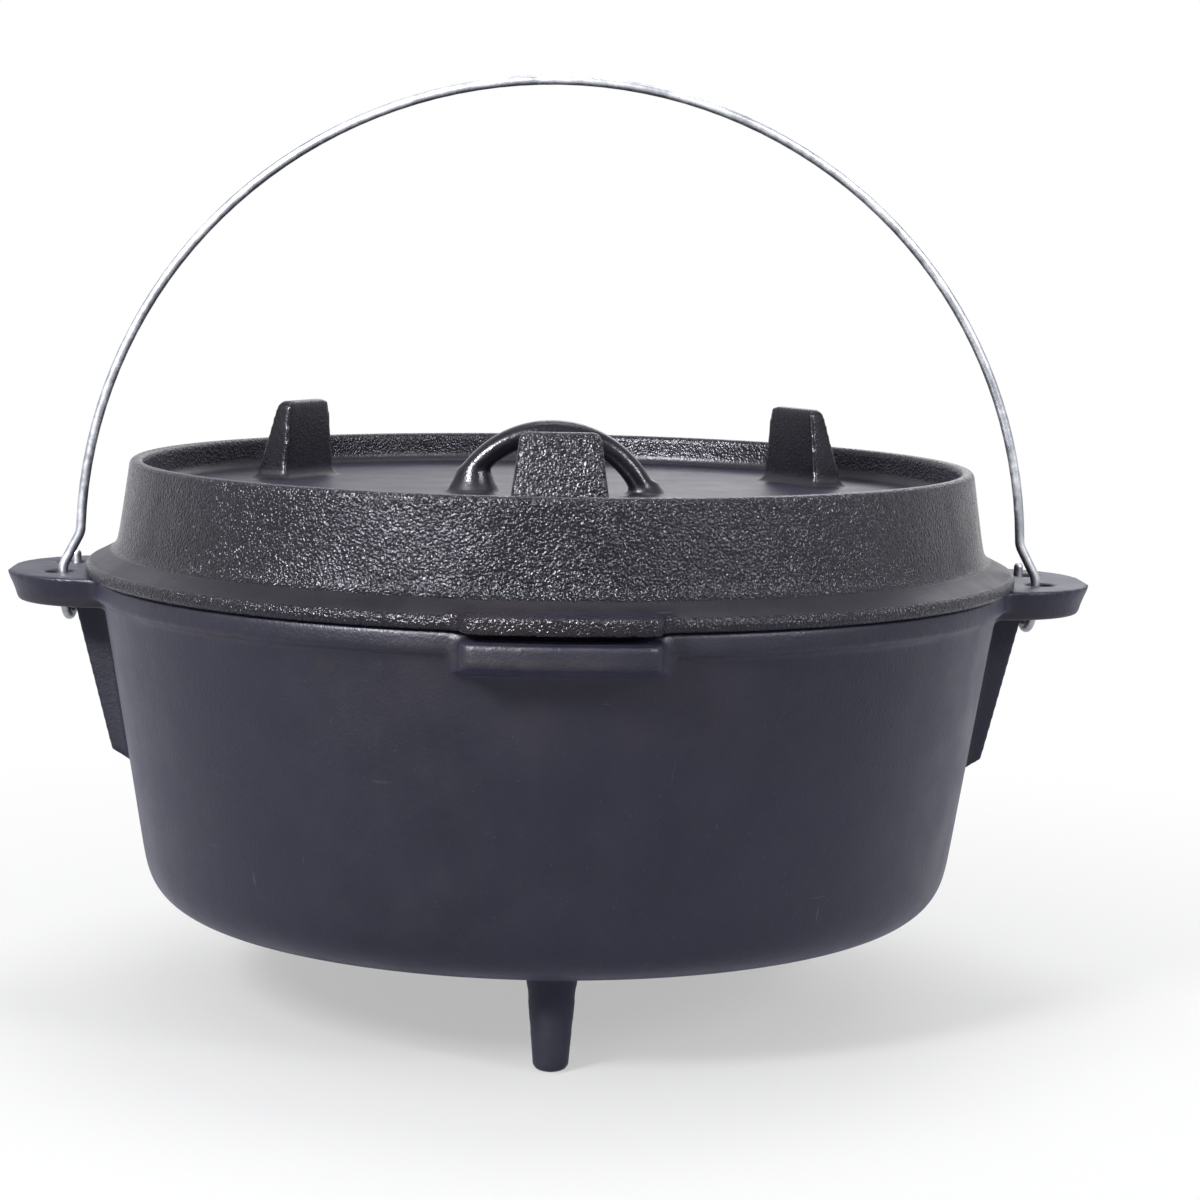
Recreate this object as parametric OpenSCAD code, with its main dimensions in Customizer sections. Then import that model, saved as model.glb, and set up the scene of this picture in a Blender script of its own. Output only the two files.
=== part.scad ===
// Camp dutch oven: a cast iron pot on three legs, a flanged coal lid and a wire bail.
// X runs from ear to ear, -Y is the front and Z is up.
// The origin is on the ground, on the axis of the pot.
// Every casting is one solid, as it leaves its mould, and the bail is one bent wire.

/* [Pot] */
// Diameter over the collar at the rim
rim_d = 366; // [340:0.2:390]
// Height of the rim above the ground
rim_h = 171; // [160:1:190]
// Depth outside, from the rim to the underside
pot_h = 133; // [115:1:145]
// Inward slope of the wall, in degrees
wall_draft = 9; // [5:0.5:12]
// Thickness of the wall
wall_t = 4.5; // [3.5:0.1:7]
// Thickness of the floor
floor_t = 5.5; // [4:0.1:8]
// Outer radius between wall and floor
corner_r = 21; // [14:1:30]
// Height of the collar below the rim
collar_h = 8; // [6:0.5:12]
// How far the collar stands proud of the wall
collar_out = 2.2; // [1:0.1:3]
// Rounding of the rim's outer edge
rim_round = 1.6; // [0.8:0.1:2.4]

/* [Pot legs] */
// How far the middle of a leg lies inside the foot of the wall
leg_inset = 34.7; // [28:0.2:50]
// Diameter of a leg where it meets the pot
leg_top_d = 19; // [15:0.5:26]
// Diameter of a leg at the foot
leg_foot_d = 13.5; // [10:0.5:15]
// Rounding round the flat of the foot
foot_round = 2.6; // [1.5:0.1:4]
// Radius of the fillet between leg and pot
leg_fillet = 4; // [2:0.5:7]

/* [Ears] */
// Reach of an ear beyond the collar
ear_out = 34.5; // [32:0.1:44]
// Thickness of an ear
ear_t = 12; // [9:0.5:14]
// Radius of the two corners of an ear, seen from above
ear_corner_r = 38; // [30:1:42]
// Length of the straight front between the two corners
ear_flat = 14; // [8:1:30]
// How much smaller the underside is than the top, all round
ear_taper = 4.6; // [2:0.1:6]
// Radius of the fillet between an ear's side and the collar
ear_fillet = 12; // [8:0.5:18]
// Diameter of the two holes that the bail hooks through
hole_d = 11; // [10:0.2:13]
// Distance between the centres of the two holes
hole_pitch = 34; // [30:0.5:38]
// Distance from the ear's tip to the line of the holes
hole_inset = 21.5; // [19:0.5:24]
// Thickness of the rib that carries an ear
rib_t = 18; // [12:1:22]
// Reach of the rib beyond the wall, right under the ear
rib_top_out = 12.5; // [9:0.5:14]
// Reach of the rib beyond the wall, at its lower end
rib_low_out = 7; // [4:0.5:10]
// Height of the rib below the ear
rib_h = 61; // [40:1:70]
// Height of the slanted lower end of the rib
rib_end = 5; // [3:0.5:10]

/* [Tabs] */
// Reach of the front and rear tabs beyond the collar
tab_out = 12.25; // [11.5:0.05:18]
// Width of a tab
tab_w = 70; // [50:1:90]
// Radius of a tab's two corners
tab_corner = 5; // [2:0.5:6]
// Radius of the fillets between a tab and the round edge
tab_fillet = 5; // [2:0.5:6]
// How far the pot's tab lies below the rim, for a lifter's tip
tab_drop = 3; // [1.5:0.5:5]
// Height of the pot's tab at its edge
pot_tab_t = 8.5; // [6:0.5:12]
// Drop of the sloped underside of the pot's tab
pot_tab_slope = 4; // [2:0.5:8]
// Thickness of the lid's tab
lid_tab_t = 6.4; // [5.5:0.1:9]

/* [Lid] */
// Height of the lid's rim above its seat on the pot
lid_h = 45.5; // [36:0.5:58]
// How far the top of the lid's rim lies inside the edge of the flange
lid_set_in = 17.2; // [16:0.1:24]
// Slope of the lid's outer wall, in degrees
lid_draft = 8; // [5:0.5:9]
// Thickness of the lid's wall
lid_wall_t = 5; // [4:0.1:7]
// Width of the raised rim at its top
lid_rim_w = 5.4; // [4:0.1:8]
// Depth of the coal tray below the raised rim
tray_depth = 13; // [8:0.5:18]
// Thickness of the lid's plate
plate_t = 4.2; // [3.5:0.1:7]
// Radius of the fillet between tray and rim
tray_fillet = 4.5; // [2:0.5:7]
// How far the lid's flange hangs over the pot's collar
flange_over = 3.1; // [2:0.1:3.5]
// Height of the flange's upright edge
flange_edge = 5.2; // [4:0.1:8]
// Height to which the flange's top slopes up at the wall
flange_rise = 5.4; // [3:0.1:8]
// Rounding of the flange's edges
flange_round = 1.4; // [0.8:0.1:2]
// Depth of the ring that centres the lid inside the pot
ring_depth = 4.5; // [3:0.1:6]
// Clearance between that ring and the pot's mouth
ring_gap = 2; // [1.5:0.1:3]

/* [Lid legs] */
// How far the middle of a leg lies inside the edge of the tray
lid_leg_inset = 43.2; // [34:0.1:60]
// Height of the legs above the lid's rim
lid_leg_over = 19.5; // [10:0.5:30]
// Width of a leg at its top
lid_leg_top_w = 30; // [22:0.5:36]
// Width of a leg at the tray
lid_leg_low_w = 37; // [30:0.5:44]
// Thickness of a leg at its top
lid_leg_top_t = 6.5; // [5:0.5:9]
// Thickness of a leg at the tray
lid_leg_low_t = 14; // [11:0.5:18]
// Radius of the fillets round a leg's foot
lid_leg_fillet = 4; // [2:0.5:6]
// Rounding of a leg's top corners
lid_leg_round = 3; // [1:0.5:4]

/* [Lid handle] */
// Width over the loop, foot to foot
loop_w = 85; // [70:1:100]
// Height of the loop above the tray
loop_h = 29.5; // [24:0.5:36]
// Thickness of the loop's bar, seen from the front
loop_t = 9.5; // [8:0.5:12]
// Depth of the loop's bar, front to back
loop_depth = 13; // [12.5:0.5:18]
// Height of the thick foot that the casting was fed through
gate_h = 10; // [7:0.5:13]
// Diameter of that foot at the tray
gate_d = 21; // [17:0.5:25]
// Diameter of the smaller foot's flare at the tray
flare_d = 17; // [14:0.5:20]

/* [Bail] */
// Diameter of the wire
wire_d = 3.8; // [3.2:0.1:4.6]
// Clearance between the arch and the lid's flange
arch_gap = 2.6; // [1.4:0.1:6]
// How far the ends of the arch stop short of its widest place, in degrees
arch_tilt = 3; // [2:0.5:6]
// Radius of the bends where the wire flares out to the ears
bend_r = 8; // [6:0.5:9]
// Angle of that flare, in degrees
flare_angle = 28; // [22:1:40]
// Straight length between the arch and the flare
arch_leg = 1; // [1:0.5:4]
// Straight length of the shank between the flare and the hook
shank = 2.5; // [1:0.5:4]
// Gap between the wire and the front of its hole
hook_gap = 0.3; // [0.2:0.1:0.8]
// Distance of the wire inward from the centre of the holes
hook_in = 2.2; // [1:0.1:2.4]
// Depth of the hinge axis below the top of the ears
axis_drop = 0; // [0:0.5:2]
// Forward lean of the bail on its stop, in degrees
lean = 5; // [3:0.5:6]
// Turn of the hook past its half circle, in degrees
hook_end = 4; // [0:1:20]

/* [Hidden] */
$fn = 96;

iron = [0.22, 0.22, 0.25];
steel = [0.72, 0.73, 0.75];
leg_angles = [270, 30, 150];

// Pot, worked out
rim_r = rim_d / 2;
wall_top_r = rim_r - collar_out;
under_z = rim_h - pot_h;
floor_z = under_z + floor_t;
inner_corner_r = corner_r - wall_t;
ear_tip = rim_r + ear_out;
tab_r = rim_r + tab_out;
hole_x = ear_tip - hole_inset;

// Radius of the wall's outside and of its inside at a height above the ground
function wall_at(z) = wall_top_r - tan(wall_draft) * (rim_h - z);
function cavity_at(z) = wall_at(z) - wall_t / cos(wall_draft);
leg_circle_r = wall_at(under_z) - leg_inset;

// Lid, worked out
plate_z = lid_h - tray_depth;
flange_r = rim_r + flange_over;
lid_top_r = flange_r - lid_set_in;
lid_leg_r = lid_top_r - lid_rim_w - lid_leg_inset;
ring_r = cavity_at(rim_h) - ring_gap;
wall_foot_z = flange_edge + flange_rise;
rim_round_r = 2;
pan_corner = 7;

// Radius of the lid's wall outside and inside at a height above its seat
function lid_at(z) = lid_top_r + tan(lid_draft) * (lid_h - z);
function pan_at(z) = lid_at(z) - lid_wall_t / cos(lid_draft);

// Loop handle, an arc through both feet and the top
loop_r = ((loop_w / 2) ^ 2 + loop_h ^ 2) / (2 * loop_h);
loop_mid_r = loop_r - loop_t / 2;
loop_z = plate_z + loop_h - loop_r;
loop_from = asin((plate_z - plate_t / 2 - loop_z) / loop_mid_r);

// Bail, worked out in its own plane: u runs sideways and t up from the hinge axis
axis_z = rim_h - axis_drop;
arch_r = flange_r - wire_d / 2 + arch_gap;
hook_x = hole_x - hook_in;
hook_r = hole_pitch / 2 + sqrt(((hole_d - wire_d) / 2) ^ 2 - hook_in ^ 2) - hook_gap;

// Where the arch's straight end meets the upper bend, and the middles of both bends
leg_u = arch_r * cos(arch_tilt) + arch_leg * sin(arch_tilt);
upper_bend_u = leg_u + bend_r * cos(arch_tilt);
lower_bend_u = hook_x - bend_r;
slant = (upper_bend_u - lower_bend_u - 2 * bend_r * cos(flare_angle)) / -sin(flare_angle);
upper_bend_t = shank + 2 * bend_r * sin(flare_angle) + slant * cos(flare_angle);
leg_t = upper_bend_t - bend_r * sin(arch_tilt);
arch_z = leg_t + arch_leg * cos(arch_tilt) - arch_r * sin(arch_tilt);

// Straight runs of wire are a hair thinner than its bends, and reach this far into them
run_d = wire_d - 0.02;
run_into = 0.3;

// Points along an arc, both ends included
function arc(centre, r, from, to, steps = 6) =
    [for (i = [0:steps]) let (a = from + (to - from) * i / steps) centre + r * [cos(a), sin(a)]];

// Outline of a tab seen from above, on a round edge of radius base_r
function tab_side(base_r) =
    let (
        in_x = tab_w / 2 - tab_corner,
        in_y = -sqrt((tab_r - tab_corner) ^ 2 - in_x ^ 2),
        out_x = tab_w / 2 + tab_fillet,
        out_y = -sqrt((base_r + tab_fillet) ^ 2 - out_x ^ 2)
    )
    concat(
        arc([0, 0], tab_r, 270, 360 + atan2(in_y, in_x), 4),
        arc([in_x, in_y], tab_corner, atan2(in_y, in_x), 0),
        arc([out_x, out_y], tab_fillet, 180, atan2(-out_y, -out_x)),
        [[out_x, out_y] * (base_r - collar_out) / norm([out_x, out_y])]
    );
function flipped(points) = [for (i = [len(points) - 1:-1:1]) [-points[i][0], points[i][1]]];

// Centre of a circle of radius r that touches the circle a_r about the origin
// and the circle b_r about the point b, on the far side in Y
function touching(a_r, b, b_r, r) =
    let (
        d = norm(b),
        p = a_r + r,
        q = b_r + r,
        along = (p ^ 2 - q ^ 2 + d ^ 2) / (2 * d),
        off = sqrt(p ^ 2 - along ^ 2),
        e = b / d
    )
    along * e + off * [-e[1], e[0]];

// Solid of the pot's outside, turned from its profile
module pot_blank() {
    corner = [wall_at(under_z + corner_r) - corner_r / cos(wall_draft), under_z + corner_r];
    step_z = rim_h - collar_h;
    rotate_extrude()
        polygon(concat(
            [[0, under_z]],
            arc(corner, corner_r, -90, -wall_draft),
            [[wall_at(step_z - collar_out), step_z - collar_out], [rim_r, step_z]],
            arc([rim_r - rim_round, rim_h - rim_round], rim_round, 0, 90, 4),
            [[0, rim_h]]
        ));
}

// Room inside the pot, open at the top
module pot_cavity() {
    corner_z = floor_z + inner_corner_r;
    corner = [cavity_at(corner_z) - inner_corner_r / cos(wall_draft), corner_z];
    rotate_extrude()
        polygon(concat(
            [[0, floor_z]],
            arc(corner, inner_corner_r, -90, -wall_draft),
            [[cavity_at(rim_h - 1), rim_h - 1], [cavity_at(rim_h) + 1, rim_h + 0.01]],
            [[cavity_at(rim_h) + 1, rim_h + 1], [0, rim_h + 1]]
        ));
}

// Tapered leg with a flat, rounded foot and a fillet under the pot
module pot_leg() {
    foot_r = leg_foot_d / 2;
    top_r = leg_top_d / 2;
    rotate_extrude()
        polygon(concat(
            [[0, 0]],
            arc([foot_r - foot_round, foot_round], foot_round, -90, 0),
            arc([top_r + leg_fillet, under_z - leg_fillet], leg_fillet, 180, 90),
            [[top_r + leg_fillet, under_z + 0.5], [0, under_z + floor_t / 2]]
        ));
}

// Ear for one end of the bail, on the +X side, with two holes through it
module ear_blank() {
    corner_x = ear_tip - ear_corner_r;
    under = rim_h - ear_t;
    for (side = [-1, 1])
        translate([corner_x, side * ear_flat / 2, under])
            cylinder(h = ear_t, r1 = ear_corner_r - ear_taper, r2 = ear_corner_r);
    rotate([90, 0, 0])
        translate([0, 0, -ear_flat / 2])
            linear_extrude(ear_flat)
                polygon([
                    [cavity_at(rim_h) + 1, rim_h],
                    [ear_tip, rim_h],
                    [ear_tip - ear_taper, under],
                    [cavity_at(rim_h) + 1, under]
                ]);
    for (side = [0, 1])
        mirror([0, side, 0]) ear_side_fillet();
}

// Fill between one side of an ear and the collar, hollowed to a fillet
module ear_side_fillet() {
    bury = 0.4;
    corner = [ear_tip - ear_corner_r, ear_flat / 2];
    centre = touching(rim_r - bury, corner, ear_corner_r - ear_taper / 2 - bury, ear_fillet);
    on_wall = centre * (rim_r - 2) / norm(centre);
    on_ear = corner + (centre - corner) * (ear_corner_r - ear_taper - 2) / norm(centre - corner);
    translate([0, 0, rim_h - collar_h])
        linear_extrude(collar_h)
            difference() {
                polygon([on_wall, on_ear, [on_wall[0] - 2, on_ear[1] - 6]]);
                translate(centre) circle(r = ear_fillet);
            }
}

// Upright rib between an ear and the wall
module ear_rib() {
    top_z = rim_h - ear_t;
    low_z = top_z - rib_h;
    bury = 2;
    rotate([90, 0, 0])
        translate([0, 0, -rib_t / 2])
            linear_extrude(rib_t)
                polygon([
                    [wall_at(top_z) - bury, top_z + bury],
                    [wall_at(top_z) + rib_top_out, top_z + bury],
                    [wall_at(top_z) + rib_top_out, top_z],
                    [wall_at(low_z) + rib_low_out, low_z],
                    [wall_at(low_z - rib_end) - bury / 4, low_z - rib_end],
                    [wall_at(low_z - rib_end) - bury, low_z - rib_end]
                ]);
}

// Front tab of the pot, set below the rim, with a sloped underside
module pot_tab() {
    top_z = rim_h - tab_drop;
    edge_z = top_z - pot_tab_t;
    intersection() {
        translate([0, 0, edge_z - pot_tab_slope])
            linear_extrude(pot_tab_t + pot_tab_slope)
                polygon(concat(tab_side(rim_r), flipped(tab_side(rim_r))));
        rotate_extrude()
            polygon([
                [cavity_at(rim_h) + 1, top_z],
                [tab_r + 1, top_z],
                [tab_r + 1, edge_z],
                [tab_r, edge_z],
                [rim_r - collar_out, edge_z - pot_tab_slope],
                [cavity_at(rim_h) + 1, edge_z - pot_tab_slope]
            ]);
    }
}

// The pot, one casting with its ears, tabs and legs
module pot() {
    color(iron)
        difference() {
            union() {
                pot_blank();
                for (a = leg_angles)
                    rotate([0, 0, a]) translate([leg_circle_r, 0, 0]) pot_leg();
                for (side = [0, 1])
                    mirror([side, 0, 0]) {
                        ear_blank();
                        ear_rib();
                    }
                for (a = [0, 180])
                    rotate([0, 0, a]) pot_tab();
            }
            pot_cavity();
            for (x = [-hole_x, hole_x], y = [-hole_pitch / 2, hole_pitch / 2])
                translate([x, y, rim_h - ear_t - 1])
                    cylinder(h = ear_t + 2, d = hole_d, $fn = 48);
        }
}

// Plate, wall, flange and centring ring of the lid, turned from one profile
module lid_shell() {
    tray_r = lid_top_r - lid_rim_w - tray_fillet;
    slope = atan2(flange_rise, flange_r - lid_at(wall_foot_z));
    plate_low = plate_z - plate_t;
    rotate_extrude()
        polygon(concat(
            [[0, plate_z]],
            arc([tray_r, plate_z + tray_fillet], tray_fillet, -90, 0),
            arc([lid_top_r - lid_rim_w + rim_round_r, lid_h - rim_round_r], rim_round_r, 180, 90, 4),
            arc([lid_top_r - rim_round_r, lid_h - rim_round_r], rim_round_r, 90, lid_draft, 4),
            [[lid_at(wall_foot_z + 2), wall_foot_z + 2]],
            [[lid_at(wall_foot_z) + 2 * cos(slope), wall_foot_z - 2 * sin(slope)]],
            arc([flange_r - flange_round, flange_edge - flange_round], flange_round, 90 - slope, 0, 4),
            arc([flange_r - flange_round, flange_round], flange_round, 0, -90, 4),
            [[ring_r, 0], [ring_r, 1 - ring_depth], [ring_r - 1, -ring_depth]],
            [[pan_at(-ring_depth), -ring_depth]],
            arc([pan_at(plate_low - pan_corner) - pan_corner, plate_low - pan_corner],
                pan_corner, 0, 90),
            [[0, plate_low]]
        ));
}

// One of the lid's three legs, on the +X side, upright inside and slanted outside
module lid_leg() {
    h = tray_depth + lid_leg_over;
    top = lid_leg_top_w / 2;
    low = lid_leg_low_w / 2;
    f = lid_leg_fillet;
    inner = -lid_leg_top_t / 2;
    outer = lid_leg_low_t + inner;
    lean_out = atan2(outer + inner, h);
    splay = atan2(low - top, h);
    sink = plate_t / 2;
    side = concat(
        [[low + f, -sink]],
        arc([low + f, f], f, -90, -180 + splay),
        arc([top - lid_leg_round, h - lid_leg_round], lid_leg_round, splay, 90, 4)
    );
    translate([lid_leg_r, 0, plate_z])
        intersection() {
            rotate([90, 0, 90])
                translate([0, 0, inner - f - 1])
                    linear_extrude(lid_leg_low_t + 2 * f + 2)
                        polygon(concat(side, [for (i = [len(side) - 1:-1:0]) [-side[i][0], side[i][1]]]));
            rotate([90, 0, 0])
                translate([0, 0, -low - f - 1])
                    linear_extrude(2 * (low + f + 1))
                        polygon(concat(
                            [[inner - f, -sink], [outer + f, -sink]],
                            arc([outer + f, f], f, -90, -180 + lean_out),
                            [[-inner, h - 1], [-inner - 1, h], [inner + 1, h], [inner, h - 1]],
                            arc([inner - f, f], f, 0, -90)
                        ));
        }
}

// Loop handle across the middle of the lid, an arc of an oval bar on two feet
module lid_loop() {
    oval = (loop_depth - loop_t) / 2;
    gate_x = loop_w / 2 - gate_d / 2;
    gate_top = loop_t + 3;
    translate([0, 0, loop_z])
        rotate([90, 0, 0])
            rotate([0, 0, loop_from])
                rotate_extrude(angle = 180 - 2 * loop_from)
                    translate([loop_mid_r, 0]) {
                        for (side = [-1, 1])
                            translate([0, side * oval]) circle(d = loop_t, $fn = 48);
                        square([loop_t, 2 * oval], center = true);
                    }
    translate([-gate_x, 0, plate_z - plate_t / 2])
        cylinder(h = gate_h + plate_t / 2, d1 = gate_d + 2, d2 = gate_top);
    translate([loop_w / 2 - loop_t / 2, 0, plate_z - plate_t / 2])
        cylinder(h = flare_d / 3 + plate_t / 2, d1 = flare_d + 2, d2 = loop_t - 1);
}

// The lid, one casting with its legs, loop handle and tabs
module lid() {
    color(iron)
        translate([0, 0, rim_h]) {
            lid_shell();
            for (a = leg_angles)
                rotate([0, 0, a]) lid_leg();
            lid_loop();
            for (a = [0, 180])
                rotate([0, 0, a])
                    linear_extrude(lid_tab_t)
                        polygon(concat(tab_side(flange_r), flipped(tab_side(flange_r))));
        }
}

// Round wire bent along an arc in the XY plane about the origin
module wire_arc(r, from, to) {
    rotate([0, 0, from])
        rotate_extrude(angle = to - from)
            translate([r, 0]) circle(d = wire_d, $fn = 32);
}

// Straight run of wire along +Y, a hair thinner than the bends that it reaches into
module wire_run(length) {
    rotate([-90, 0, 0])
        translate([0, 0, -run_into])
            cylinder(h = length + 2 * run_into, d = run_d, $fn = 32);
}

// Rounded end of the wire, towards +Y, which reaches into its bend as a straight run does
module wire_tip() {
    rotate([-90, 0, 0])
        rotate_extrude($fn = 32)
            polygon(concat(
                [[0, -run_into], [run_d / 2, -run_into]],
                arc([0, 0], run_d / 2, 0, 90)
            ));
}

// The bail's arch, upright
module bail_arch() {
    translate([0, -hook_r, arch_z])
        rotate([90, 0, 0])
            wire_arc(arch_r, arch_tilt, 180 - arch_tilt);
}

// The +X end of the bail, upright, from the end of the arch to the end of the hook
module bail_end() {
    // Both bends, the slant and the shank, drawn in the XY plane and stood up
    translate([0, -hook_r, 0])
        rotate([90, 0, 0]) {
            translate([leg_u, leg_t, 0]) rotate([0, 0, arch_tilt]) wire_run(arch_leg);
            translate([upper_bend_u, upper_bend_t, 0])
                wire_arc(bend_r, 180 + arch_tilt, 180 + flare_angle);
            translate([lower_bend_u, shank, 0]) {
                wire_arc(bend_r, 0, flare_angle);
                translate(bend_r * [cos(flare_angle), sin(flare_angle), 0])
                    rotate([0, 0, flare_angle]) wire_run(slant);
            }
            translate([hook_x, 0, 0]) wire_run(shank);
        }
    // Hook, an arc about the hinge axis, down one hole and up the other
    translate([hook_x, 0, 0])
        rotate([90, 0, 90]) {
            wire_arc(hook_r, 180, 360 + hook_end);
            rotate([0, 0, hook_end]) translate([hook_r, 0, 0]) wire_tip();
        }
}

// The bail, one bent wire, leaning forward on the front edge of its holes
module bail() {
    color(steel)
        translate([0, 0, axis_z])
            rotate([lean, 0, 0]) {
                bail_arch();
                for (side = [0, 1])
                    mirror([side, 0, 0]) bail_end();
            }
}

pot();
lid();
bail();
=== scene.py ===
"""Camp dutch oven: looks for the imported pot, lid and bail, in metres."""
import math

import bpy
import numpy as np
from mathutils import Matrix, Vector


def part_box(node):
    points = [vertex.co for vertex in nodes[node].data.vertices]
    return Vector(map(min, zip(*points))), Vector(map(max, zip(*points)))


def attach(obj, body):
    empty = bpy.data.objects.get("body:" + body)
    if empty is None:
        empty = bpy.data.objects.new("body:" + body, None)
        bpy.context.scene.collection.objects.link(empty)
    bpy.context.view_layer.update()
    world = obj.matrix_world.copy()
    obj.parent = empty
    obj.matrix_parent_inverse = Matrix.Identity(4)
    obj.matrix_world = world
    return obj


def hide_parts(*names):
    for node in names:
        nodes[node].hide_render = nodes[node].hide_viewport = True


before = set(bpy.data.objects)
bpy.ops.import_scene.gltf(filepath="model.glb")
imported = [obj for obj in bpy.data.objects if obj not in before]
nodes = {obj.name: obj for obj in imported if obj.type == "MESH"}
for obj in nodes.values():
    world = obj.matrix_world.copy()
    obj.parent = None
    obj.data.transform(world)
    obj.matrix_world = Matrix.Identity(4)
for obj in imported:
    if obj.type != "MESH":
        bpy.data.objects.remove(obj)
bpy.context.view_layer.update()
scene = bpy.context.scene

# Height of the pot's rim, from the frame, then the lid's tray and the top edge of its outer wall
RIM_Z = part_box("pot")[1][2]
TRAY_Z = 0.2035
LID_TOP_R = 0.1689

# Where the lid's zones start and are full, in metres from the axis, the ground or the middle
WALL_R = (LID_TOP_R - 0.0045, LID_TOP_R - 0.0015)
INNER_RIM_R = (LID_TOP_R - 0.018, LID_TOP_R - 0.012)
SLOPE_FOOT_R = (0.1754, 0.1772)
SLOPE_EDGE_R = (0.1838, 0.1850)
RAISED_Z = (TRAY_Z + 0.001, TRAY_Z + 0.006)
FRONT_LEG_Y = (-0.10, -0.09)
FLANGE_R = (0.172, 0.177)
FLANGE_Z = (RIM_Z + 0.013, RIM_Z + 0.009)
LID_STAIN_X = (0.03, 0.11)

# The same for the pot, below its rim
ROUGHER_Z = (RIM_Z - 0.09, RIM_Z - 0.015)
INSIDE_R = (0.150, 0.154)
INSIDE_Z = (RIM_Z - 0.03, RIM_Z - 0.01)
LINE_FOOT_Z = (RIM_Z - 0.013, RIM_Z - 0.010)
LINE_TOP_Z = (RIM_Z - 0.0085, RIM_Z - 0.0065)
WASH_Z = (RIM_Z - 0.07, RIM_Z - 0.03)
WASH_X = (0.03, 0.12)

# Marks in the surfaces: waves per metre, detail and roughness of a noise, and where it starts and is full
CLOUDS = (11, 5, 0.6, 0.30, 0.70)
MOTTLE = (120, 4, 0.65, 0.35, 0.68)
BROWN = (22, 4, 0.6, 0.35, 0.70)
SPECKS = (620, 2, 0.6, 0.68, 0.75)
STAINS = (34, 3, 0.7, 0.66, 0.72)
SCRATCHED = (9, 2, 0.6, 0.52, 0.70)
SHINE_PATCHES = (45, 4, 0.6, 0.30, 0.70)
ZINC_CLOUDS = (70, 4, 0.65, 0.35, 0.68)
ZINC_SPOTS = (900, 2, 0.6, 0.64, 0.74)
ZINC_SHINE = (300, 3, 0.6, 0.30, 0.70)

# How high the relief of each surface stands, in metres
SAND_HEIGHT = 0.00019
PEBBLE_HEIGHT = 0.00078
ZINC_HEIGHT = 0.00012

# Dark and light tone of each casting, as sRGB of 0 to 255
POT_TONES = ((20, 22, 36), (26, 28, 44))
LID_TONES = ((15, 14, 20), (20, 18, 25))

# The skins' smoothing: how far a round moves a vertex towards its neighbours' mean, and how many rounds
# average the normals. An average near 1 long means a broad face: it counts from BROAD_FROM, and in
# full BROAD_SPAN above that.
STEP = 0.5
NORMAL_ROUNDS = 12
BROAD_FROM = 0.980
BROAD_SPAN = 0.015

# Camera at a chosen 1.2 m, fitted to the photograph's ears, rims, legs and walls: image and focal
# length in pixels, sensor in millimetres, place and clipping in metres, and turns in radians
IMAGE = 1200
SENSOR = 36.0
FOCAL = 2980.3
EYE = Vector((-0.02594, -1.2, 0.3071))
PITCH = 0.12175
YAW = 0.03823
ROLL = 0.01862
NEAR = 0.05
FAR = 40

# Floor and lamps, in metres
FLOOR_SIZE = 16
PAPER_FADE_R = (0.10, 0.65)
LAMP_AIM = (0, 0, 0.15)
KEY_PLACE = (-0.80, -1.02, 0.95)
KEY_SIZE = (0.30, 0.40)
GLINT_SIZE = (0.28, 0.30)


def place_camera():
    """Looks along +Y, turned right by YAW, down by PITCH and tilted by ROLL."""
    flat = math.cos(PITCH)
    forward = Vector((math.sin(YAW) * flat, math.cos(YAW) * flat, -math.sin(PITCH)))
    level = Vector((math.cos(YAW), -math.sin(YAW), 0))
    up = level.cross(forward)
    right = level * math.cos(ROLL) + up * math.sin(ROLL)
    up = up * math.cos(ROLL) - level * math.sin(ROLL)
    camera = bpy.data.objects.new("camera", bpy.data.cameras.new("camera"))
    scene.collection.objects.link(camera)
    camera.data.sensor_width = SENSOR
    camera.data.lens = FOCAL * SENSOR / IMAGE
    camera.data.clip_start = NEAR
    camera.data.clip_end = FAR
    camera.matrix_world = Matrix((
        (right.x, up.x, -forward.x, EYE.x),
        (right.y, up.y, -forward.y, EYE.y),
        (right.z, up.z, -forward.z, EYE.z),
        (0, 0, 0, 1),
    ))
    scene.camera = camera


def linear(red, green, blue):
    """An sRGB colour of 0 to 255 as Blender's linear one."""
    def one(value):
        value /= 255
        return value / 12.92 if value <= 0.04045 else ((value + 0.055) / 1.055) ** 2.4
    return (one(red), one(green), one(blue))


class Nodes:
    """A node tree, with short calls to add and join nodes."""

    def __init__(self, tree):
        self.tree = tree

    def add(self, kind, **settings):
        node = self.tree.nodes.new(kind)
        for key, value in settings.items():
            setattr(node, key, value)
        return node

    def join(self, source, target):
        self.tree.links.new(source, target)

    def feed(self, socket, value):
        """Puts a number, a colour or another node's output into a socket."""
        if isinstance(value, tuple):
            socket.default_value = (*value, 1)
        elif isinstance(value, (int, float)):
            socket.default_value = value
        else:
            self.join(value, socket)

    def math(self, kind, a, b=None):
        node = self.add("ShaderNodeMath", operation=kind)
        self.feed(node.inputs[0], a)
        if b is not None:
            self.feed(node.inputs[1], b)
        return node.outputs[0]

    def chain(self, kind, values):
        """Joins any number of values by one kind of sum, from the left."""
        result = values[0]
        for value in values[1:]:
            result = self.math(kind, result, value)
        return result

    def total(self, *values):
        return self.chain("ADD", values)

    def times(self, *values):
        return self.chain("MULTIPLY", values)

    def most(self, *values):
        return self.chain("MAXIMUM", values)


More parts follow.
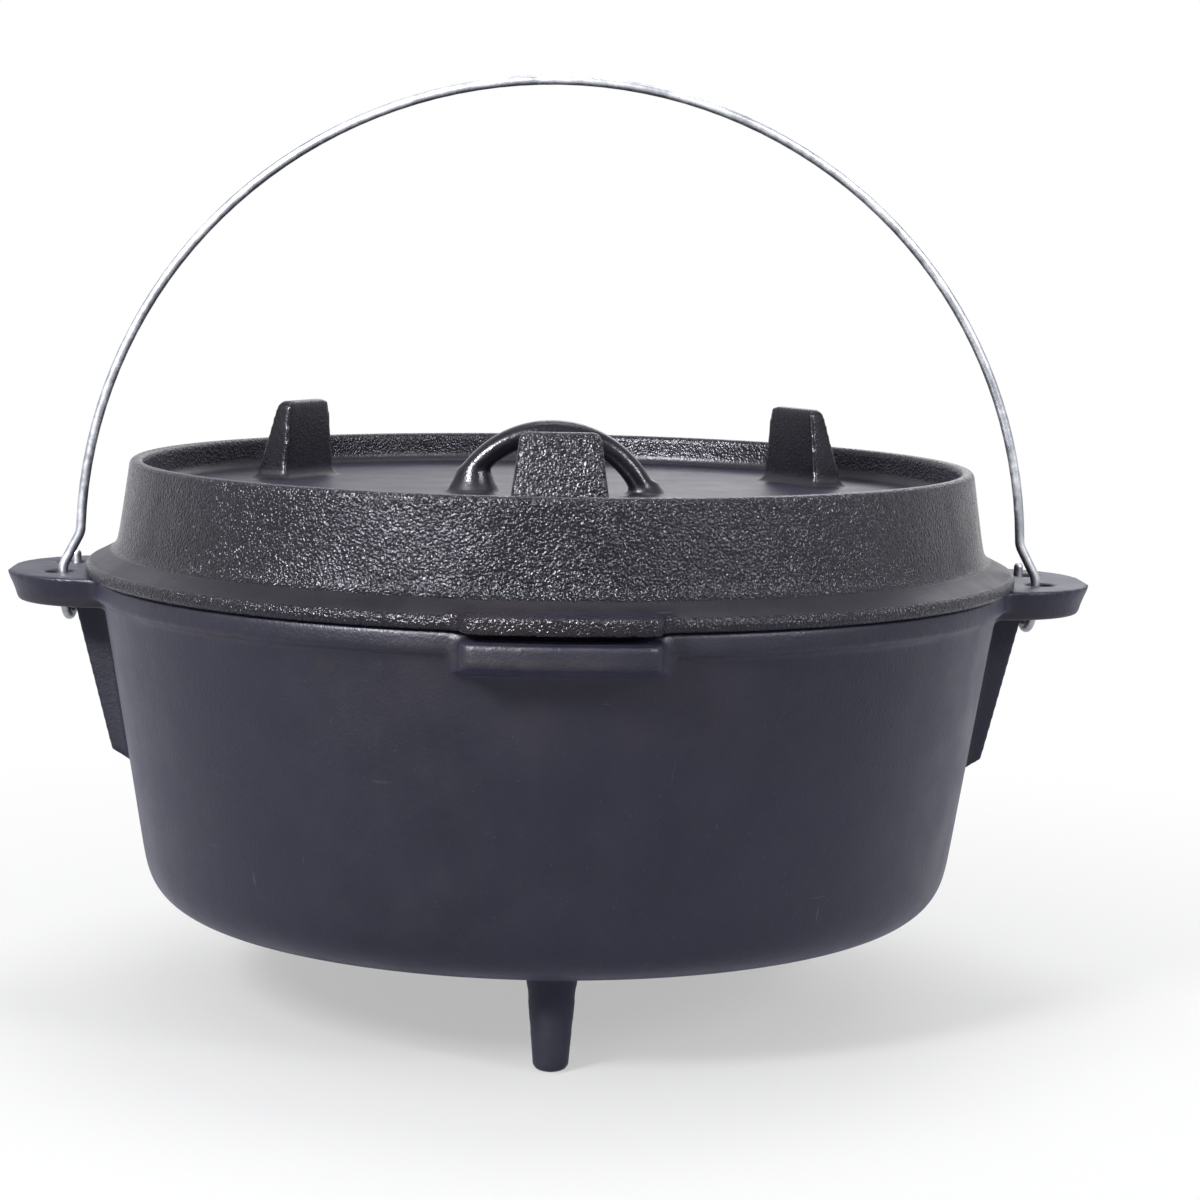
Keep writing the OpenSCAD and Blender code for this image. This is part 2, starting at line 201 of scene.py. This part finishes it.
class Surface(Nodes):
    """A material's nodes, which follow the object's own coordinates."""

    def __init__(self, name):
        self.material = bpy.data.materials.new(name)
        self.material.use_nodes = True
        super().__init__(self.material.node_tree)
        self.shader = self.tree.nodes["Principled BSDF"]
        self.where = self.add("ShaderNodeTexCoord").outputs["Object"]

    def put(self, name, value):
        """Sets or joins one input of the surface's own shader."""
        self.feed(self.shader.inputs[name], value)

    def noise(self, scale, detail, rough, vector=None):
        """Noise with scale in waves per metre."""
        node = self.add("ShaderNodeTexNoise")
        node.inputs["Scale"].default_value = scale
        node.inputs["Detail"].default_value = detail
        node.inputs["Roughness"].default_value = rough
        self.join(vector or self.where, node.inputs["Vector"])
        return node.outputs["Fac"]

    def ramp(self, value, low, high, to_low=0.0, to_high=1.0):
        """Value from low to high, turned smoothly into to_low to to_high."""
        node = self.add("ShaderNodeMapRange", interpolation_type="SMOOTHSTEP")
        ends = (("From Min", low), ("From Max", high), ("To Min", to_low), ("To Max", to_high))
        for key, number in ends:
            node.inputs[key].default_value = number
        self.join(value, node.inputs["Value"])
        return node.outputs["Result"]

    def marks(self, scale, detail, rough, low, high, to_low=0.0, to_high=1.0):
        """Patches of noise, to_low where it is under low and to_high where it is over high."""
        return self.ramp(self.noise(scale, detail, rough), low, high, to_low, to_high)

    def mix(self, share, a, b):
        """Colour a where share is 0 and b where it is 1."""
        node = self.add("ShaderNodeMix", data_type="RGBA")
        self.feed(node.inputs["Factor"], share)
        self.feed(node.inputs[6], a)
        self.feed(node.inputs[7], b)
        return node.outputs[2]

    def bump(self, height, distance, strength=1.0, normal=None):
        node = self.add("ShaderNodeBump")
        node.inputs["Distance"].default_value = distance
        self.feed(node.inputs["Strength"], strength)
        self.join(height, node.inputs["Height"])
        if normal is not None:
            self.join(normal, node.inputs["Normal"])
        return node.outputs["Normal"]

    def split(self):
        """The object's x, y and z."""
        node = self.add("ShaderNodeSeparateXYZ")
        self.join(self.where, node.inputs[0])
        return node.outputs

    def radius(self):
        """Distance from the upright axis."""
        x, y, _ = self.split()
        return self.math("SQRT", self.total(self.times(x, x), self.times(y, y)))

    def aside(self):
        """Distance from the middle, to either side."""
        return self.math("ABSOLUTE", self.split()[0])

    def stretched(self, sx, sy, sz):
        """Object coordinates scaled on each axis, for marks that are longer one way."""
        node = self.add("ShaderNodeMapping")
        node.inputs["Scale"].default_value = (sx, sy, sz)
        self.join(self.where, node.inputs["Vector"])
        return node.outputs["Vector"]

    def edges(self, low, high):
        """0 on plain faces and 1 on outward edges, from the mesh's own bend."""
        point = self.add("ShaderNodeNewGeometry").outputs["Pointiness"]
        return self.ramp(point, low, high)


def scratches(n):
    """A few thin, faint lines that run at two slants, from 0 to 1."""
    lines = []
    for along, across, seed in ((38, 700, 0.0), (640, 60, 7.3)):
        noise = n.add("ShaderNodeTexNoise", noise_dimensions="4D")
        noise.inputs["Scale"].default_value = 1.0
        noise.inputs["Detail"].default_value = 1.0
        noise.inputs["W"].default_value = seed
        n.join(n.stretched(along, along * 0.6, across), noise.inputs["Vector"])
        lines.append(n.ramp(noise.outputs["Fac"], 0.74, 0.78))
    return n.times(n.most(*lines), n.marks(*SCRATCHED))


def sand(n):
    """The fine grain of the mould's sand, as a height."""
    return n.total(n.times(n.noise(1500, 2, 0.6), 0.5), n.times(n.noise(520, 3, 0.6), 0.9))


def pebbles(n):
    """Rounded, uneven bumps one to two millimetres apart, as a height."""
    return n.total(n.noise(1050, 1, 0.4), n.times(n.noise(560, 1, 0.5), 0.45))


def iron(name, tones, specular, sheen, pebble_share, gloss_share, brown_share):
    """Seasoned cast iron. The shares say where its skin is pebbled, glossy and brownish."""
    n = Surface(name)
    dark, light = tones
    brown = n.times(brown_share(n), n.marks(*BROWN))
    # What lies over the two tones, from below: where it is, its greatest share and its colour
    layers = (
        (n.marks(*MOTTLE), 0.35, (34, 33, 45)),
        (brown, 0.60, (42, 34, 33)),
        (n.marks(*SPECKS), 0.25, (84, 76, 80)),
        (n.marks(*STAINS), 0.55, (40, 33, 28)),
        # a lighter lavender tone on outward edges, from the mesh's bend: a painted edge highlight
        (n.edges(0.53, 0.60), 0.25, (70, 68, 84)),
        (scratches(n), 0.50, (98, 96, 110)),
    )
    base = n.mix(n.marks(*CLOUDS), linear(*dark), linear(*light))
    for where, share, tone in layers:
        base = n.mix(n.times(where, share), base, linear(*tone))
    n.put("Base Color", base)

    grain = n.bump(sand(n), SAND_HEIGHT, 0.5)
    n.put("Normal", n.bump(pebbles(n), PEBBLE_HEIGHT, pebble_share(n), grain))

    patches = n.marks(*SHINE_PATCHES, 0.41, 0.49)
    n.put("Roughness", n.total(patches, n.times(gloss_share(n), -0.25), n.times(brown, 0.06)))
    n.put("Metallic", 0.0)
    n.put("Specular IOR Level", specular)
    n.put("Specular Tint", (0.90, 0.89, 1.0))
    n.put("Sheen Weight", sheen)
    n.put("Sheen Roughness", 0.5)
    n.put("Sheen Tint", (0.5, 0.5, 1.0))
    return n.material


def lid_zones(n):
    """How far a point is on the outer wall, the inner rim, the raised forms and the front leg."""
    _, y, z = n.split()
    radius = n.radius()
    slope = n.times(n.ramp(radius, *SLOPE_FOOT_R), n.ramp(radius, *SLOPE_EDGE_R, 1.0, 0.0))
    wall = n.times(n.ramp(radius, *WALL_R), n.math("SUBTRACT", 1.0, slope))
    raised = n.ramp(z, *RAISED_Z)
    rim = n.times(raised, n.ramp(radius, *INNER_RIM_R))
    front = n.times(raised, n.ramp(y, *FRONT_LEG_Y, 1.0, 0.0))
    return wall, rim, raised, front


def lid_pebbles(n):
    """Full on the outer wall, flange edge, tabs and front leg, and faint on the rest."""
    wall, rim, raised, front = lid_zones(n)
    return n.most(wall, n.times(front, 0.85), n.times(rim, 0.6), n.times(raised, 0.14), 0.03)


def lid_gloss(n):
    """Full where it is pebbled and on the loop and legs, and little on the tray."""
    wall, _, raised, _ = lid_zones(n)
    return n.most(wall, n.times(raised, 0.7), 0.1)


def lid_brown(n):
    """On the flange's slope, most of all by the tabs."""
    z = n.split()[2]
    flange = n.times(n.ramp(n.radius(), *FLANGE_R), n.ramp(z, *FLANGE_Z))
    return n.times(flange, n.ramp(n.aside(), *LID_STAIN_X, 1.0, 0.25))


def pot_pebbles(n):
    """A trace of it on the collar and ears, and less below."""
    return n.ramp(n.split()[2], *ROUGHER_Z, 0.06, 0.17)


def pot_gloss(n):
    """Matt inside, away from the top edge."""
    z = n.split()[2]
    inside = n.times(n.ramp(n.radius(), *INSIDE_R, 1.0, 0.0), n.ramp(z, *INSIDE_Z, 1.0, 0.0))
    return n.times(inside, -0.6)


def pot_brown(n):
    """A line along the collar's foot and a wash below the front tab."""
    z = n.split()[2]
    line = n.times(n.ramp(z, *LINE_FOOT_Z), n.ramp(z, *LINE_TOP_Z, 1.0, 0.0))
    wash = n.times(n.ramp(z, *WASH_Z), n.ramp(n.aside(), *WASH_X, 0.5, 0.0))
    return n.most(line, wash)


def wire():
    """Zinc coated wire, a little rough, with dull patches."""
    n = Surface("zinc_wire")
    tone = n.mix(n.marks(*ZINC_CLOUDS), linear(138, 140, 147), linear(184, 186, 192))
    tone = n.mix(n.times(n.marks(*ZINC_SPOTS), 0.4), tone, linear(96, 96, 102))
    n.put("Base Color", tone)
    n.put("Roughness", n.marks(*ZINC_SHINE, 0.34, 0.46))
    drawn = n.noise(1.0, 3, 0.6, n.stretched(500, 500, 160))
    n.put("Normal", n.bump(drawn, ZINC_HEIGHT, 0.5))
    n.put("Metallic", 1.0)
    return n.material


def dress(node, material):
    node.data.materials.clear()
    node.data.materials.append(material)


def even_mesh(node, voxel):
    """The node's shape as a new mesh of even quads, one voxel wide."""
    remesh = node.modifiers.new("even", "REMESH")
    remesh.mode = "VOXEL"
    remesh.voxel_size = voxel
    remesh.use_smooth_shade = True
    graph = bpy.context.evaluated_depsgraph_get()
    mesh = bpy.data.meshes.new_from_object(node.evaluated_get(graph))
    node.modifiers.remove(remesh)
    return mesh


def read(items, key, width, kind=np.float32):
    """One row of numbers for each vertex or edge."""
    numbers = np.empty(len(items) * width, kind)
    items.foreach_get(key, numbers)
    return numbers.reshape(-1, width)


def move(mesh, places):
    mesh.vertices.foreach_set("co", places.astype(np.float32).ravel())
    mesh.update()


def relaxed(values, ends, count, share):
    """Moves each vertex's values towards the mean of its neighbours', by its share."""
    mean = np.empty_like(values)
    for axis in range(3):
        column = values[:, axis]
        total = np.bincount(ends[:, 0], column[ends[:, 1]], len(values))
        total += np.bincount(ends[:, 1], column[ends[:, 0]], len(values))
        mean[:, axis] = total / count
    return values + (mean - values) * share


def cast_skin(name, voxel, soft, plain, keep):
    """A casting's skin: edges softened in soft rounds, and broad faces freed of their facets in
    plain rounds. It keeps that share of its faces."""
    mesh = even_mesh(nodes[name], voxel)
    places = read(mesh.vertices, "co", 3).astype(float)
    ends = read(mesh.edges, "vertices", 2, np.int32)
    count = np.bincount(ends.ravel(), minlength=len(places))
    for _ in range(soft):
        places = relaxed(places, ends, count, STEP)
    move(mesh, places)
    normals = read(mesh.vertex_normals, "vector", 3).astype(float)
    for _ in range(NORMAL_ROUNDS):
        normals = relaxed(normals, ends, count, STEP)
    length = np.linalg.norm(normals, axis=1)
    broad = np.clip((length - BROAD_FROM) / BROAD_SPAN, 0, 1)[:, None]
    for _ in range(plain):
        places = relaxed(places, ends, count, STEP * broad)
    move(mesh, places)
    piece = bpy.data.objects.new(name + "_skin", mesh)
    scene.collection.objects.link(piece)
    thin = piece.modifiers.new("thin", "DECIMATE")
    thin.ratio = keep
    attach(piece, name)
    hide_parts(name)
    return piece


def white_where_seen(n, shader, kind, share=1.0):
    """Plain white to the camera, in gloss and through glass, as far as share says, else the shader."""
    rays = n.add("ShaderNodeLightPath").outputs
    seen = n.most(rays["Is Camera Ray"], rays["Is Glossy Ray"], rays["Is Transmission Ray"])
    white = n.add(kind)
    white.inputs["Color"].default_value = (1, 1, 1, 1)
    white.inputs["Strength"].default_value = 1.0
    mixer = n.add("ShaderNodeMixShader")
    n.join(n.times(seen, share), mixer.inputs[0])
    n.join(shader, mixer.inputs[1])
    n.join(white.outputs[0], mixer.inputs[2])
    return mixer.outputs[0]


def paper():
    """White paper that keeps the shadow near the object and is plain white further out."""
    n = Surface("paper")
    n.put("Base Color", (0.93, 0.93, 0.93))
    n.put("Roughness", 0.9)
    n.put("Specular IOR Level", 0.1)
    white_share = n.ramp(n.radius(), *PAPER_FADE_R, 0.45, 1.0)
    out = n.tree.nodes["Material Output"]
    shown = white_where_seen(n, n.shader.outputs[0], "ShaderNodeEmission", white_share)
    n.join(shown, out.inputs["Surface"])
    return n.material


def add_floor():
    bpy.ops.mesh.primitive_plane_add(size=FLOOR_SIZE, location=(0, 0, 0))
    floor = bpy.context.object
    floor.name = "floor"
    floor.data.materials.append(paper())


def add_world():
    """Soft, slightly cool light from all round, and plain white wherever it is seen."""
    world = bpy.data.worlds.new("studio")
    scene.world = world
    world.use_nodes = True
    n = Nodes(world.node_tree)
    n.tree.nodes.clear()
    out = n.add("ShaderNodeOutputWorld")
    soft = n.add("ShaderNodeBackground")
    soft.inputs["Color"].default_value = (0.95, 0.96, 1.0, 1)
    soft.inputs["Strength"].default_value = 0.4
    shown = white_where_seen(n, soft.outputs[0], "ShaderNodeBackground")
    n.join(shown, out.inputs["Surface"])


def lamp(name, place, size, power, gloss_only=False):
    """A lamp of size in metres and power in watts, which looks at LAMP_AIM."""
    light = bpy.data.lights.new(name, "AREA")
    light.shape = "RECTANGLE"
    light.size, light.size_y = size
    light.energy = power
    obj = bpy.data.objects.new(name, light)
    scene.collection.objects.link(obj)
    obj.location = place
    obj.visible_diffuse = not gloss_only
    obj.rotation_euler = (Vector(LAMP_AIM) - Vector(place)).to_track_quat("-Z", "Y").to_euler()


place_camera()
scene.view_settings.view_transform = "Standard"

pot_skin = cast_skin("pot", voxel=0.0011, soft=4, plain=90, keep=0.18)
lid_skin = cast_skin("lid", voxel=0.0010, soft=4, plain=60, keep=0.22)
dress(pot_skin, iron("pot_iron", POT_TONES, 0.28, 0.09, pot_pebbles, pot_gloss, pot_brown))
dress(lid_skin, iron("lid_iron", LID_TONES, 0.25, 0.05, lid_pebbles, lid_gloss, lid_brown))
dress(nodes["bail"], wire())

add_floor()
add_world()
lamp("key", KEY_PLACE, KEY_SIZE, 11)
lamp("glint", KEY_PLACE, GLINT_SIZE, 110, gloss_only=True)
lamp("far_glint", (1.02, -0.95, 0.95), GLINT_SIZE, 24, gloss_only=True)
lamp("fill", (1.20, -1.00, 0.80), KEY_SIZE, 6)
lamp("top", (0.1, 0.3, 1.7), (0.8, 0.8), 9)
lamp("back", (0.5, 1.6, 1.0), (1.2, 0.6), 6)
